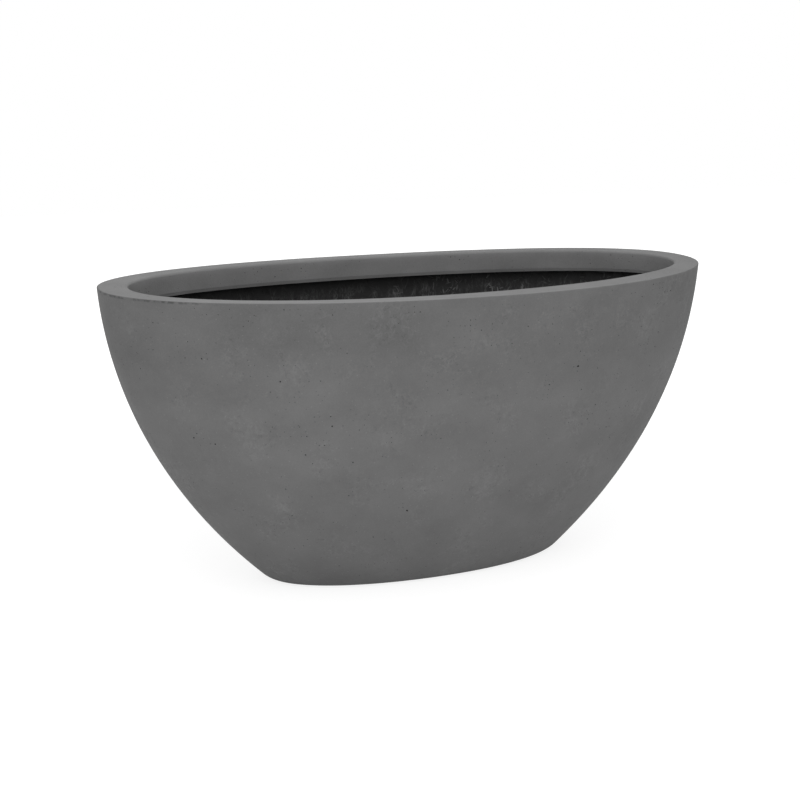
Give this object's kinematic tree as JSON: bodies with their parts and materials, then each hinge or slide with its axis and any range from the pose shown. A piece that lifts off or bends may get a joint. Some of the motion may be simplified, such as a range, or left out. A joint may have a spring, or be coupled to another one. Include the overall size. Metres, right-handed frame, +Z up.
{
  "type": "oval bowl planter",
  "caption": "Oval bowl planter in grey fibre cement: a thick flat rim with an inner return, curved sides to a small foot, a rough black lining and lift-out rubber drain bungs.",
  "frame": {"origin": "middle of the flat foot, on the surface that the planter stands on", "axes": "+X along the bowl's long way, +Y across it, +Z up through the open mouth"},
  "size_m": [0.7198, 0.35, 0.3476],
  "materials": {
    "fibre_cement": "matte",
    "laid_laminate": "satin",
    "bung_rubber": "matte"
  },
  "bodies": {
    "planter": {"planter_shell": "fibre_cement", "inner_lining": "laid_laminate"},
    "left_bung": {"drain_bung_left": "bung_rubber"},
    "right_bung": {"drain_bung_right": "bung_rubber"}
  },
  "joints": [
    {"name": "left_bung_lift", "type": "slide", "parent": "planter", "child": "left_bung", "axis": [0, 0, 1], "range_m": [0, 0.36]},
    {"name": "right_bung_lift", "type": "slide", "parent": "planter", "child": "right_bung", "axis": [0, 0, 1], "range_m": [0, 0.36]}
  ]
}
